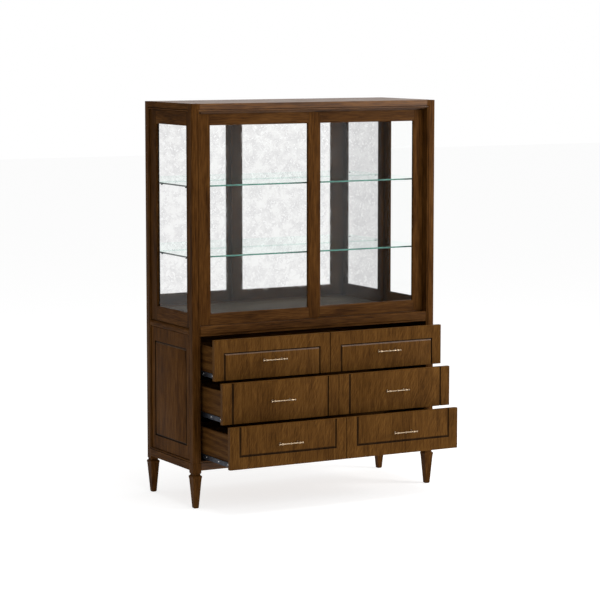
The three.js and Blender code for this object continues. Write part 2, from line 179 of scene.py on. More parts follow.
def round_edges(piece, name, width, angle):
    """Bevel on every edge sharper than the angle, in degrees."""
    rounding = piece.modifiers.new(name, "BEVEL")
    rounding.width = width
    rounding.segments = 2
    rounding.limit_method = "ANGLE"
    rounding.angle_limit = math.radians(angle)
    return rounding


def add_piece(name, bm, body, materials, stands_for=(), slot=None, bevel=0.0, sharp=35):
    """Turns bm into an object that rides on a body and stands for the named CAD nodes."""
    bmesh.ops.recalc_face_normals(bm, faces=bm.faces)
    mesh = bpy.data.meshes.new(name)
    bm.to_mesh(mesh)
    bm.free()
    for material in materials:
        mesh.materials.append(material)
    mesh.shade_smooth()
    mesh.set_sharp_from_angle(angle=math.radians(sharp))
    piece = bpy.data.objects.new(name, mesh)
    bpy.context.scene.collection.objects.link(piece)
    if bevel > 0:
        round_edges(piece, "rounded_edges", bevel, angle=28).harden_normals = True
    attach(piece, body)
    if stands_for:
        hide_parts(*stands_for)


def arc(centre, radius, start, end, steps=10):
    """Points on a circular arc in a section, angles in degrees."""
    angles = [math.radians(start + (end - start) * i / steps) for i in range(steps + 1)]
    return [(centre[0] + radius * math.cos(a), centre[1] + radius * math.sin(a)) for a in angles]


PLACE = {
    "X": lambda a, b, t: (t, a, b),
    "Y": lambda a, b, t: (a, t, b),
    "Z": lambda a, b, t: (a, b, t),
}

# Turn a lathe's axis from Z to the named one
TURN = {
    "X": Matrix.Rotation(math.radians(90), 3, "Y"),
    "Y": Matrix.Rotation(math.radians(-90), 3, "X"),
}


def outer(ends, side):
    """The end of a range that lies at the left or the right side."""
    return ends[0] if side < 0 else ends[1]


def front_place(face):
    """Puts (across, up, depth in from the face) in space, for a face at the front."""
    return lambda a, b, depth: (a, face + depth, b)


def side_place(face, side):
    """Puts (front to back, up, depth in from the face) in space, for a face at the left or the right side."""
    return lambda a, b, depth: (face - side * depth, a, b)


def add_prism(bm, section, axis, start, end, material_index=0):
    """Section points run along an axis: (y, z) along X, (x, z) along Y, (x, y) along Z."""
    place = PLACE[axis]
    first = [bm.verts.new(place(a, b, start)) for a, b in section]
    last = [bm.verts.new(place(a, b, end)) for a, b in section]
    count = len(section)
    faces = []
    for i in range(count):
        j = (i + 1) % count
        faces.append(bm.faces.new((first[i], first[j], last[j], last[i])))
    faces.append(bm.faces.new(first))
    faces.append(bm.faces.new(last[::-1]))
    for face in faces:
        face.material_index = material_index


def rectangle(a, b):
    return [(a[0], b[0]), (a[1], b[0]), (a[1], b[1]), (a[0], b[1])]


CORNERS = rectangle((-1, 1), (-1, 1))


def board_into(bm, x, y, z):
    add_prism(bm, rectangle(x, y), "Z", *z)


def board(name, x, y, z, body, material, **more):
    bm = bmesh.new()
    board_into(bm, x, y, z)
    add_piece(name, bm, body, [material], **more)


def rail(node, section, axis, ends, body, material, slot, bevel):
    bm = bmesh.new()
    add_prism(bm, section, axis, *ends)
    add_piece(node, bm, body, [material], (node,), slot, bevel)


def sweep_frame(bm, section, across, up, place, shade_edges=()):
    """Section (outward, depth) swept round a rectangle with mitred corners.

    Faces of the uprights take slot 1, and the section's edges numbered in the last argument take slot 2, the
    near-black copy that paints shade on them."""
    loops = []
    for (a, b), (out_a, out_b) in zip(rectangle(across, up), CORNERS):
        loops.append([bm.verts.new(place(a + out_a * out, b + out_b * out, depth)) for out, depth in section])
    count = len(section)
    for side in range(4):
        here, there = loops[side], loops[(side + 1) % 4]
        for i in range(count):
            j = (i + 1) % count
            face = bm.faces.new((here[i], there[i], there[j], here[j]))
            face.material_index = 2 if i in shade_edges else side % 2


def lathe_into(bm, profile, centre, axis, steps):
    """Revolves (radius, along) points about an axis through centre."""
    turn = TURN[axis]
    rings = []
    for radius, along in profile:
        if radius == 0:
            rings.append([bm.verts.new(Vector(centre) + turn @ Vector((0, 0, along)))])
            continue
        ring = []
        for step in range(steps):
            angle = 2 * math.pi * step / steps
            point = Vector((radius * math.cos(angle), radius * math.sin(angle), along))
            ring.append(bm.verts.new(Vector(centre) + turn @ point))
        rings.append(ring)
    for lower, upper in zip(rings, rings[1:]):
        for step in range(steps):
            after = (step + 1) % steps
            ends = ((lower, step), (lower, after), (upper, after), (upper, step))
            unique = list(dict.fromkeys(ring[at % len(ring)] for ring, at in ends))
            if len(unique) > 2:
                bm.faces.new(unique)


# ---------------------------------------------------------------- materials


class Graph:
    """The node tree of a material or of the world, with short calls for the nodes used here."""

    def __init__(self, owner, output="ShaderNodeOutputMaterial"):
        owner.use_nodes = True
        self.nodes = owner.node_tree.nodes
        self.links = owner.node_tree.links
        self.nodes.clear()
        self.surface = self.nodes.new(output).inputs["Surface"]

    def join(self, value, socket):
        """Sets a plain number or colour on a socket, or links anything else to it."""
        if isinstance(value, (int, float)):
            socket.default_value = value
        elif isinstance(value, tuple):
            socket.default_value = (*value, 1)
        else:
            self.links.new(value, socket)

    def principled(self):
        shader = self.nodes.new("ShaderNodeBsdfPrincipled")
        self.links.new(shader.outputs[0], self.surface)
        return shader

    def place(self):
        return self.nodes.new("ShaderNodeTexCoord").outputs["Object"]

    def backfacing(self):
        return self.nodes.new("ShaderNodeNewGeometry").outputs["Backfacing"]

    def noise(self, vector, scale, detail=3.0, roughness=0.55, distortion=0.0):
        noise = self.nodes.new("ShaderNodeTexNoise")
        settings = {"Scale": scale, "Detail": detail, "Roughness": roughness, "Distortion": distortion}
        for socket, number in settings.items():
            noise.inputs[socket].default_value = number
        self.links.new(vector, noise.inputs["Vector"])
        return noise.outputs["Fac"]

    def ramp(self, value, stops):
        ramp = self.nodes.new("ShaderNodeValToRGB")
        elements = ramp.color_ramp.elements
        while len(elements) < len(stops):
            elements.new(0.5)
        for element, (position, colour) in zip(elements, stops):
            element.position = position
            element.color = (*colour, 1)
        self.links.new(value, ramp.inputs["Fac"])
        return ramp.outputs["Color"]

    def mapping(self, vector, scale, rotation=(0, 0, 0)):
        mapping = self.nodes.new("ShaderNodeMapping")
        mapping.inputs["Scale"].default_value = scale
        mapping.inputs["Rotation"].default_value = rotation
        self.links.new(vector, mapping.inputs["Vector"])
        return mapping.outputs["Vector"]

    def math(self, operation, first, second):
        node = self.nodes.new("ShaderNodeMath")
        node.operation = operation
        self.join(first, node.inputs[0])
        self.join(second, node.inputs[1])
        return node.outputs[0]

    def plus(self, first, second):
        return self.math("ADD", first, second)

    def minus(self, first, second):
        return self.math("SUBTRACT", first, second)

    def times(self, first, second):
        return self.math("MULTIPLY", first, second)

    def spread(self, value, source, target):
        """Maps one range of values to another, clamped."""
        node = self.nodes.new("ShaderNodeMapRange")
        self.links.new(value, node.inputs["Value"])
        for socket, number in zip(("From Min", "From Max", "To Min", "To Max"), (*source, *target)):
            node.inputs[socket].default_value = number
        return node.outputs["Result"]

    def mix(self, factor, first, second, blend="MIX"):
        mix = self.nodes.new("ShaderNodeMix")
        mix.data_type = "RGBA"
        mix.blend_type = blend
        mix.clamp_factor = True
        self.join(factor, mix.inputs["Factor"])
        self.join(first, mix.inputs["A"])
        self.join(second, mix.inputs["B"])
        return mix.outputs["Result"]

    def blend(self, factor, first, second):
        """Mixes two shaders."""
        mix = self.nodes.new("ShaderNodeMixShader")
        self.links.new(factor, mix.inputs["Fac"])
        self.links.new(first.outputs[0], mix.inputs[1])
        self.links.new(second.outputs[0], mix.inputs[2])
        return mix.outputs[0]

    def bump(self, shader, height, strength, distance):
        bump = self.nodes.new("ShaderNodeBump")
        bump.inputs["Strength"].default_value = strength
        bump.inputs["Distance"].default_value = distance
        self.links.new(height, bump.inputs["Height"])
        self.links.new(bump.outputs["Normal"], shader.inputs["Normal"])


def new_material(name):
    material = bpy.data.materials.new(name)
    return material, Graph(material)


def along_grain(grain, across, along):
    return tuple(along if axis == grain else across for axis in "XYZ")


def deeper(colour, factor):
    return tuple(factor * value for value in colour)


def make_wood(
    name, grain, dark, mid, light, rough=(0.3, 0.46), flecks=0.0, cathedral=0.0, glaze_and_shade=0.75, specular=0.08
):
    """Lacquered wood: growth bands, fibres, open pores, and darkening in corners of mouldings by ambient occlusion,
    which stands for settled glaze and is partly painted shade.
    """
    material, graph = new_material(name)
    shader = graph.principled()
    place = graph.place()

    def grained(stretch, scale, *texture, source=place):
        """Noise drawn out along the grain."""
        return graph.noise(graph.mapping(source, along_grain(grain, 1, stretch)), scale, *texture)

    fibre = grained(0.06, FIBRE_SCALE, 4, 0.62)
    band = grained(0.16, BAND_SCALE, 3, 0.5, 0.9)
    tone = graph.plus(graph.times(fibre, FIBRE_SHARE), graph.times(band, BAND_SHARE))
    if cathedral:
        wave = graph.nodes.new("ShaderNodeTexWave")
        wave.wave_type = "BANDS"
        wave.bands_direction = "Z"
        for socket, number in CATHEDRAL_WAVE.items():
            wave.inputs[socket].default_value = number
        graph.links.new(graph.mapping(place, along_grain(grain, 1, 0.22)), wave.inputs["Vector"])
        tone = graph.plus(tone, graph.times(graph.minus(wave.outputs["Fac"], 0.5), cathedral))
    colour = graph.ramp(tone, list(zip(TONE_STOPS, (dark, mid, light))))
    if flecks:
        leaning = graph.mapping(place, (1, 1, 1), (0, FLECK_LEAN, 0))
        ray = grained(0.11, FLECK_SCALE, 2, 0.5, 0.5, source=leaning)
        patch = grained(0.5, FLECK_PATCH_SCALE, 2, 0.5)
        strongest = graph.spread(ray, (0.5, 0.66), (0, flecks))
        shown = graph.times(strongest, graph.spread(patch, (0.35, 0.6), (0.25, 1)))
        lighter = tuple(min(1, 1.7 * value) for value in light)
        colour = graph.mix(shown, colour, lighter)
        dip = graph.spread(ray, (0.34, 0.47), (0.5 * flecks, 0))
        colour = graph.mix(dip, colour, dark)
    pores = graph.spread(grained(0.035, PORE_SCALE, 2, 0.5), (0.55, 0.68), (0, 1))
    colour = graph.mix(graph.times(pores, 0.35), colour, deeper(dark, 0.35))
    # Ambient occlusion darkens corners and hollows: glaze settled there, and painted shade
    if glaze_and_shade:
        shade = graph.nodes.new("ShaderNodeAmbientOcclusion")
        shade.samples = 6
        shade.only_local = True
        shade.inputs["Distance"].default_value = GLAZE_AND_SHADE_REACH
        corner_darkening = graph.spread(shade.outputs["AO"], (0.45, 0.92), (glaze_and_shade, 0))
        colour = graph.mix(corner_darkening, colour, deeper(dark, 0.16))
    graph.links.new(colour, shader.inputs["Base Color"])
    smudge = graph.noise(place, SMUDGE_SCALE, 2, 0.5)
    wear = graph.plus(graph.times(fibre, 0.5), graph.times(smudge, 0.5))
    graph.links.new(graph.spread(wear, (0.3, 0.7), rough), shader.inputs["Roughness"])
    graph.bump(shader, graph.minus(graph.times(fibre, 0.4), pores), 0.22, 0.5 * MM)
    shader.inputs["Specular IOR Level"].default_value = specular
    return material


def make_metal(name, colour, dark, rough, grain="X"):
    """Brushed metal in two tones, dulled in patches."""
    material, graph = new_material(name)
    shader = graph.principled()
    place = graph.place()
    brushed = graph.noise(graph.mapping(place, along_grain(grain, 1, 0.05)), BRUSH_SCALE, 3, 0.6)
    patch = graph.spread(graph.noise(place, DULL_PATCH_SCALE, 3, 0.6), (0.35, 0.65), (0, 1))
    graph.links.new(graph.mix(patch, dark, colour), shader.inputs["Base Color"])
    shader.inputs["Metallic"].default_value = 1.0
    graph.links.new(graph.spread(brushed, (0.3, 0.7), rough), shader.inputs["Roughness"])
    graph.bump(shader, brushed, 0.12, 0.2 * MM)
    return material


def make_pane(name, tint, strength):
    """Clear glass: see-through, with the reflection of both faces on whichever is met first."""
    material, graph = new_material(name)
    clear = graph.nodes.new("ShaderNodeBsdfTransparent")
    clear.inputs["Color"].default_value = (*tint, 1)
    gloss = graph.nodes.new("ShaderNodeBsdfGlossy")
    gloss.inputs["Color"].default_value = (1, 1, 1, 1)
    place = graph.place()
    haze = graph.noise(place, HAZE_SCALE, 4, 0.6)
    graph.links.new(graph.spread(haze, (0.45, 0.75), (0.004, 0.035)), gloss.inputs["Roughness"])
    graph.bump(gloss, graph.noise(place, RIPPLE_SCALE, 1, 0.4), 0.02, 1 * MM)
    fresnel = graph.nodes.new("ShaderNodeFresnel")
    fresnel.inputs["IOR"].default_value = GLASS_IOR
    outside = graph.minus(1, graph.backfacing())
    shown = graph.times(graph.times(fresnel.outputs[0], strength), outside)
    graph.links.new(graph.blend(graph.math("MINIMUM", shown, 1), clear, gloss), graph.surface)
    return material


def make_glass_edge(name, dark, light):
    """Cut and polished edge of a thick glass shelf: deep green from outside, clear from within."""
    material, graph = new_material(name)
    shader = graph.nodes.new("ShaderNodeBsdfPrincipled")
    clear = graph.nodes.new("ShaderNodeBsdfTransparent")
    clear.inputs["Color"].default_value = (*EDGE_FROM_WITHIN, 1)
    graph.links.new(graph.blend(graph.backfacing(), shader, clear), graph.surface)
    streak = graph.noise(graph.mapping(graph.place(), (1, 1, 12)), STREAK_SCALE, 2, 0.5)
    graph.links.new(graph.ramp(streak, [(0.35, dark), (0.65, light)]), shader.inputs["Base Color"])
    graph.links.new(graph.spread(streak, (0.3, 0.7), (0.06, 0.2)), shader.inputs["Roughness"])
    graph.bump(shader, streak, 0.05, 0.3 * MM)
    return material


def make_mirror(name):
    """Antiqued mirror: hazed silver, cloudy, with bright flecks and faint veins, painted darker toward its right end
    as painted shade in its reflection.
    """
    material, graph = new_material(name)
    shader = graph.principled()
    place = graph.place()
    cloud = graph.noise(place, CLOUD_SCALE, 4, 0.6, 0.4)
    colour = graph.ramp(cloud, CLOUD_TONES)
    fleck = graph.noise(place, BRIGHT_FLECK_SCALE, 2, 0.5, 0.8)
    colour = graph.mix(graph.spread(fleck, (0.58, 0.625), (0, 1)), colour, (1.0, 1.0, 0.995))
    vein = graph.noise(place, VEIN_SCALE, 3, 0.6, 1.4)
    colour = graph.mix(graph.spread(vein, (0.36, 0.44), (0.12, 0)), colour, (0.70, 0.70, 0.71))
    split = graph.nodes.new("ShaderNodeSeparateXYZ")
    graph.links.new(place, split.inputs["Vector"])
    # Painted shade: the mirror's colour darkens toward its right end, dimming what it reflects there
    painted_dimming = graph.spread(split.outputs["X"], PAINTED_DIM_END_X, (0, 0.38))
    brightened = graph.mix(1.0, colour, (1.06, 1.06, 1.06), "MULTIPLY")
    colour = graph.mix(painted_dimming, brightened, (0.42, 0.42, 0.43))
    graph.links.new(colour, shader.inputs["Base Color"])
    shader.inputs["Metallic"].default_value = 0.955
    shader.inputs["Specular IOR Level"].default_value = 0.0
    graph.links.new(graph.spread(cloud, (0.35, 0.7), (0.015, 0.07)), shader.inputs["Roughness"])
    graph.bump(shader, cloud, 0.008, 0.3 * MM)
    return material


def deepened(stain, factor):
    return {name: deeper(colour, factor) for name, colour in stain.items()}


# Stains, as linear colours of the wood's darkest, middle and lightest growth. The two darkest sets are not stains
# but painted shade: one for sunk slopes turned from the light, one for the floors of sunk lines, seams and dark
# reveals
CASE = dict(dark=(0.030, 0.0105, 0.0020), mid=(0.073, 0.028, 0.0058), light=(0.118, 0.049, 0.0115))
FRONT = dict(dark=(0.040, 0.0158, 0.0030), mid=(0.075, 0.0315, 0.0062), light=(0.108, 0.048, 0.0105))
BOX = dict(dark=(0.040, 0.0155, 0.0036), mid=(0.064, 0.0265, 0.0062), light=(0.091, 0.041, 0.0102))
SHADE = dict(dark=(0.013, 0.0055, 0.0015), mid=(0.030, 0.0125, 0.0030), light=(0.050, 0.022, 0.005))
RECESS_SHADE = dict(dark=(0.006, 0.003, 0.0012), mid=(0.014, 0.007, 0.0025), light=(0.026, 0.013, 0.005))
FLOOR = dict(dark=(0.027, 0.0195, 0.012), mid=(0.059, 0.0445, 0.030), light=(0.099, 0.078, 0.056))
BACK = dict(dark=(0.10, 0.055, 0.026), mid=(0.17, 0.10, 0.052), light=(0.24, 0.15, 0.085))
BOX_FINISH = dict(cathedral=0.16, glaze_and_shade=0.5, rough=(0.4, 0.6), specular=0.02)

case_wood = {
    "X": make_wood("case_wood_X", "X", **CASE, specular=0.17),
    "Y": make_wood("case_wood_Y", "Y", **deepened(CASE, 0.85), specular=0.01),
    "Z": make_wood("case_wood_Z", "Z", **deepened(CASE, 0.8), specular=0.015),
}
door_rail_wood = make_wood("door_rail_wood", "X", **deepened(CASE, 0.8), specular=0.03)
# Darker copy of the case wood for the side sash stiles: painted shade on the side
shaded_side_wood = make_wood("shaded_side_wood", "Z", **deepened(CASE, 0.62), specular=0.01)
side_panel_wood = make_wood("side_panel_wood", "Z", **deepened(CASE, 0.9), specular=0.008)
top_wood = make_wood("top_wood", "X", **CASE, specular=0.18)
front_wood = make_wood("front_wood", "Z", **FRONT, flecks=0.28, specular=0.02)
front_sheen = make_wood("front_sheen", "Z", **FRONT, specular=0.4)
# Darker copy of the front wood: painted shade on the slopes of sunk lines that face away from the light
front_shade = make_wood("front_shade", "Z", **SHADE, specular=0.02)
# Near-black copy of the front wood: painted shade in the floors and walls of sunk lines, behind seams, in the sash
# reveals and beside the mirror strips
front_recess_shade = make_wood("front_recess_shade", "Z", **RECESS_SHADE, rough=(0.4, 0.6), glaze_and_shade=0, specular=0.02)
box_wood = make_wood("box_wood", "Y", **BOX, **BOX_FINISH)
box_wood_across = make_wood("box_wood_across", "X", **BOX, **BOX_FINISH)
floor_wood = make_wood("floor_wood", "X", **FLOOR, rough=(0.5, 0.65), glaze_and_shade=0.4, specular=0.01)
back_wood = make_wood("back_wood", "Z", **BACK, rough=(0.6, 0.8), glaze_and_shade=0.3)
door_glass = make_pane("door_glass", (0.995, 0.998, 0.996), 0.25)
side_glass = make_pane("side_glass", (0.998, 1.0, 0.999), 0.3)
shelf_glass = make_pane("shelf_glass", (0.968, 0.994, 0.986), 0.22)
shelf_back_edge = make_pane("shelf_back_edge", (0.90, 0.95, 0.935), 0.4)
glass_edge = make_glass_edge("glass_edge", (0.03, 0.105, 0.083), (0.08, 0.235, 0.187))
glass_end = make_glass_edge("glass_end", (0.010, 0.020, 0.018), (0.022, 0.044, 0.040))
mirror_silver = make_mirror("mirror_silver")
brass = make_metal("brass", (0.46, 0.35, 0.235), (0.31, 0.23, 0.15), (0.26, 0.42))
steel = make_metal("steel", (0.075, 0.082, 0.10), (0.04, 0.044, 0.055), (0.4, 0.6), grain="Y")
bright_zinc = make_metal("bright_zinc", (0.82, 0.82, 0.80), (0.62, 0.62, 0.60), (0.18, 0.34))
RELIEF_WOODS = [front_shade, front_recess_shade, front_sheen]


# ---------------------------------------------------------------- case


def corner(node):
    """Outer corner of a post in plan, and the directions in from it."""
    low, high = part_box(node)
    right = low.x > 0
    back = low.y > (CASE_FRONT + CASE_BACK) / 2
    return (high.x if right else low.x, -1 if right else 1), (high.y if back else low.y, -1 if back else 1)


def build_post(node):
    (x, inward_x), (y, inward_y) = corner(node)
    low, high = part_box(node)
    eased = arc((POST_EASE, POST_EASE), POST_EASE, 180, 270, 5)
    plain = [*eased, (POST, 0), (POST, POST), (0, POST)]
    front_notch = [(POST, 0)]
    if inward_y > 0:
        front_notch = [(POST - BEAD_WIDTH, 0), (POST - BEAD_WIDTH, BEAD_DEPTH), (POST, BEAD_DEPTH)]
    side_notch = [(BEAD_DEPTH, POST), (BEAD_DEPTH, POST - BEAD_WIDTH), (0, POST - BEAD_WIDTH)]
    notched = [*eased, *front_notch, (POST, POST), *side_notch]

    def placed(section):
        return [(x + inward_x * a, y + inward_y * b) for a, b in section]

    bm = bmesh.new()
    add_prism(bm, placed(plain), "Z", low.z, OPENING_Z[0] - BEAD_WIDTH)
    add_prism(bm, placed(notched), "Z", OPENING_Z[0] - BEAD_WIDTH, OPENING_Z[1] + BEAD_WIDTH)
    add_prism(bm, placed(plain), "Z", OPENING_Z[1] + BEAD_WIDTH, high.z)
    add_piece(node, bm, "cabinet", [case_wood["Z"]], (node,), "case_wood", bevel=0.7 * MM)


def bead_section():
    """Half-round bead and its base, as (outward from the opening, depth from the show face)."""
    base = BEAD_DEPTH + BEAD_BASE
    round_face = arc((BEAD_WIDTH / 2, BEAD_DEPTH), BEAD_RADIUS, 0, -180)
    return [(BEAD_WIDTH, BEAD_DEPTH), *round_face, (0, BEAD_DEPTH), (0, base), (BEAD_WIDTH, base)]


def build_beads():
    bm = bmesh.new()
    across = (CASE_X[0] + POST, CASE_X[1] - POST)
    sweep_frame(bm, bead_section(), across, OPENING_Z, front_place(CASE_FRONT))
    add_piece("front_bead", bm, "cabinet", [case_wood["X"], case_wood["Z"]], slot="case_wood")
    across = (CASE_FRONT + POST, CASE_BACK - POST)
    for hand, side in HANDS:
        bm = bmesh.new()
        sweep_frame(bm, bead_section(), across, OPENING_Z, side_place(outer(CASE_X, side), side))
        add_piece(f"side_bead_{hand}", bm, "cabinet", [case_wood["Y"], case_wood["Z"]], slot="case_wood")


def beaded_rail(node, axis, face, inward, bead_at_top):
    """Rail with a rebate for the bead along one edge. Section runs in from the show face."""
    low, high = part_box(node)
    thickness = (high.y - low.y) if axis == "X" else (high.x - low.x)
    size = high.z - low.z
    section = [
        (0, 1 * MM),
        (1 * MM, 0),
        (thickness, 0),
        (thickness, size),
        (BEAD_DEPTH, size),
        (BEAD_DEPTH, size - BEAD_WIDTH),
        (0, size - BEAD_WIDTH),
    ]
    placed = [(face + inward * a, low.z + b if bead_at_top else high.z - b) for a, b in section]
    ends = (low.x, high.x) if axis == "X" else (low.y, high.y)
    rail(node, placed, axis, ends, "cabinet", case_wood[axis], "case_wood", 0.6 * MM)


def build_rails():
    beaded_rail("top_front_rail", "X", CASE_FRONT, 1, False)
    beaded_rail("bottom_front_rail", "X", CASE_FRONT, 1, True)
    for hand, side in HANDS:
        face = outer(CASE_X, side)
        beaded_rail(f"top_rail_{hand}", "Y", face, -side, False)
        beaded_rail(f"bottom_rail_{hand}", "Y", face, -side, True)
        node = f"belt_rail_{hand}"
        low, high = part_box(node)
        face = outer((low.x, high.x), side)
        thickness = high.x - low.x
        size = high.z - low.z
        section = [
            (thickness, 0),
            (9 * MM, 0),
            (8 * MM, 1.5 * MM),
            *arc((6 * MM, 8 * MM), 6 * MM, 270, 180, 6),
            *arc((11 * MM, size - 13 * MM), 11 * MM, 180, 90, 8),
            (13 * MM, size - 1 * MM),
            (14 * MM, size),
            (thickness, size),
        ]
        placed = [(face - side * a, low.z + b) for a, b in section]
        rail(node, placed, "Y", (low.y, high.y), "cabinet", case_wood["Y"], "case_wood", 0)


def build_legs():
    """Square legs. The profile is half width and height, from the foot up: taper, collar, neck under the post."""
    for end in ("front", "back"):
        for hand, _ in HANDS:
            node = f"leg_{end}_{hand}"
            low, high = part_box(node)
            x, y = (low.x + high.x) / 2, (low.y + high.y) / 2
            collar = (high.x - low.x) / 2
            top = high.z
            profile = [
                (9 * MM, 0),
                (12.5 * MM, 3.5 * MM),
                (collar - 1.5 * MM, top - 26 * MM),
                (collar - 0.4 * MM, top - 24.5 * MM),
                (collar, top - 22.5 * MM),
                (collar, top - 16 * MM),
                (collar - 0.6 * MM, top - 14 * MM),
                (collar - 2 * MM, top - 12.4 * MM),
                (collar - 4 * MM, top - 11.6 * MM),
                (18.5 * MM, top - 8.2 * MM),
                (18.5 * MM, top - 5.2 * MM),
                (21.5 * MM, top),
            ]
            bm = bmesh.new()
            rings = []
            for half, z in profile:
                rings.append([bm.verts.new((x + a * half, y + b * half, z)) for a, b in CORNERS])
            for lower, upper in zip(rings, rings[1:]):
                for i in range(4):
                    j = (i + 1) % 4
                    bm.faces.new((lower[i], lower[j], upper[j], upper[i]))
            bm.faces.new(rings[0][::-1])
            bm.faces.new(rings[-1])
            add_piece(node, bm, "cabinet", [case_wood["Z"]], (node,), "case_wood", bevel=0.9 * MM)


def build_sill_and_track():
    low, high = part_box("door_sill")
    size = high.z - low.z
    depth = high.y - low.y
    grooves = []
    for door in DOORS:
        front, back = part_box(f"{door}_frame")
        middle = (front.y + back.y) / 2 - low.y
        for a, b in ((-1, 0), (-1, -1), (1, -1), (1, 0)):
            grooves.append((middle + a * GROOVE_HALF, size + b * GROOVE_DEPTH))
    section = [
        (2.5 * MM, 0),
        (2.5 * MM, 9 * MM),
        (1.2 * MM, 10.5 * MM),
        (0, 12 * MM),
        *arc((5 * MM, size - 5 * MM), 5 * MM, 180, 90, 6),
        *grooves,
        (depth, size),
        (depth, 0),
    ]
    placed = [(low.y + a, low.z + b) for a, b in section]
    rail("door_sill", placed, "X", (low.x, high.x), "cabinet", door_rail_wood, "case_wood", 0.5 * MM)
    give_material("door_top_track", case_wood["X"])


def give_material(node, material):
    """A carried-over CAD node keeps its shape, with eased edges and a finish of its own."""
    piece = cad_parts[node]
    piece.data.materials.clear()
    piece.data.materials.append(material)
    weld = piece.modifiers.new("joined_faces", "WELD")
    weld.merge_threshold = 0.01 * MM
    round_edges(piece, "eased_edges", 0.6 * MM, angle=40)


def build_boards():
    give_material("top_panel", top_wood)
    give_material("mirror_board", case_wood["Z"])
    give_material("display_floor", floor_wood)
    give_material("case_bottom", back_wood)
    give_material("back_panel", back_wood)
    give_material("mirror", mirror_silver)
    for hand, _ in HANDS:
        give_material(f"side_glass_{hand}", side_glass)
        give_material(f"{hand}_door_glass", door_glass)
        # The mirror looks straight past the panes, so two panes in line with a shelf never turn it black
        for pane in (f"side_glass_{hand}", f"{hand}_door_glass"):
            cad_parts[pane].visible_glossy = False


# ---------------------------------------------------------------- glazed frames


def framed_panel(prefix, body, whole, opening, place, thickness, slope_size, woods, stands_for, shade_edges=()):
    """Two stiles and two rails round an opening, with a sloped glazing bead in front of the pane and one behind.

    whole and opening are ranges across and up; place puts (across, up, depth in from the show face) in space;
    woods are the finishes of the rails and of the stiles."""
    (left, right), (bottom, top) = whole
    rail_wood, stile_wood = woods
    slope, slope_depth = slope_size
    inner_left, inner_right = opening[0][0] - slope, opening[0][1] + slope
    inner_bottom, inner_top = opening[1][0] - slope, opening[1][1] + slope
    parts = {
        "stile_a": ((left, inner_left), (bottom, top), stile_wood),
        "stile_b": ((inner_right, right), (bottom, top), stile_wood),
        "rail_low": ((inner_left, inner_right), (bottom, inner_bottom), rail_wood),
        "rail_high": ((inner_left, inner_right), (inner_top, top), rail_wood),
    }
    for index, (part, (a, b, wood)) in enumerate(parts.items()):
        bm = bmesh.new()
        corners = [place(u, v, d) for d in (0, thickness) for u in a for v in b]
        low = [min(c[i] for c in corners) for i in range(3)]
        high = [max(c[i] for c in corners) for i in range(3)]
        board_into(bm, *zip(low, high))
        add_piece(f"{prefix}_{part}", bm, body, [wood], stands_for if index == 0 else (), "case_wood", 1.3 * MM)
    bm = bmesh.new()
    pane_face = thickness / 2 - PANE_HALF
    section = [
        (slope, 0.7 * MM),
        (slope - 0.6 * MM, 0.5 * MM),
        (0.5 * MM, slope_depth),
        (0, slope_depth + 0.5 * MM),
        (0, pane_face),
        (slope, pane_face),
    ]
    sweep_frame(bm, section, *opening, place)
    pane_back = thickness / 2 + PANE_HALF
    section_back = [
        (slope, thickness - 1.0 * MM),
        (slope, pane_back),
        (0, pane_back),
        (0, thickness - 2.5 * MM),
        (0.5 * MM, thickness - 2 * MM),
        (1.7 * MM, thickness - 1 * MM),
    ]
    sweep_frame(bm, section_back, *opening, place, shade_edges)
    add_piece(f"{prefix}_glazing_bead", bm, body, [rail_wood, stile_wood, front_recess_shade], slot="case_wood")


def around_pane(node):
    """Opening a hair wider than its pane: ranges in x, y and z."""
    low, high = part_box(node)
    return [(start - PANE_GAP, end + PANE_GAP) for start, end in zip(low, high)]


def build_doors():
    for door in DOORS:
        node = f"{door}_frame"
        low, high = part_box(node)
        opening_x, _, opening_z = around_pane(f"{door}_glass")
        frame_z = (opening_z[0] - DOOR_RAIL, opening_z[1] + DOOR_RAIL)
        whole = ((low.x, high.x), frame_z)
        woods = (door_rail_wood, case_wood["Z"])
        place = front_place(low.y)
        framed_panel(door, door, whole, (opening_x, opening_z), place, high.y - low.y, DOOR_SLOPE, woods, (node,))
        middle = (low.y + high.y) / 2
        x = (low.x + TONGUE_INSET, high.x - TONGUE_INSET)
        y = (middle - TONGUE / 2, middle + TONGUE / 2)
        for part, z in (("lower_tongue", (low.z, frame_z[0] + MM)), ("upper_tongue", (frame_z[1] - MM, high.z))):
            board(f"{door}_{part}", x, y, z, door, case_wood["X"], slot="case_wood", bevel=0.8 * MM)


def build_sashes():
    for hand, side in HANDS:
        node = f"side_sash_{hand}"
        low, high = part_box(node)
        _, *opening = around_pane(f"side_glass_{hand}")
        whole = ((low.y, high.y), (low.z, high.z))
        woods = (case_wood["Y"], shaded_side_wood)
        place = side_place(outer((low.x, high.x), side), side)
        # Edges 2 to 4 of the back bead take the near-black copy: painted shade in the reveal
        framed_panel(node, "cabinet", whole, opening, place, high.x - low.x, SASH_SLOPE, woods, (node,), (2, 3, 4))


def build_side_panels():
    for hand, side in HANDS:
        node = f"lower_side_panel_{hand}"
        low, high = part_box(node)
        line_y = (low.y + SIDE_LINE_MARGIN, high.y - SIDE_LINE_MARGIN)
        place = side_place(outer((low.x, high.x), side), side)
        bm = bmesh.new()
        relief_into(bm, (low.y, high.y), (low.z, high.z), line_y, SIDE_LINE_Z, place, high.x - low.x)
        add_piece(node, bm, "cabinet", [side_panel_wood, *RELIEF_WOODS], (node,), "case_wood", 0.6 * MM)


# ---------------------------------------------------------------- relief


# Material slot of the slope below, right of, above and left of a raised field: 1 a darker copy, painted shade on the
# slopes turned from the light; 3 a shinier copy, so the slope above glints in the light
SLOPE_SHADE_AND_SHEEN = (1, 0, 3, 1)


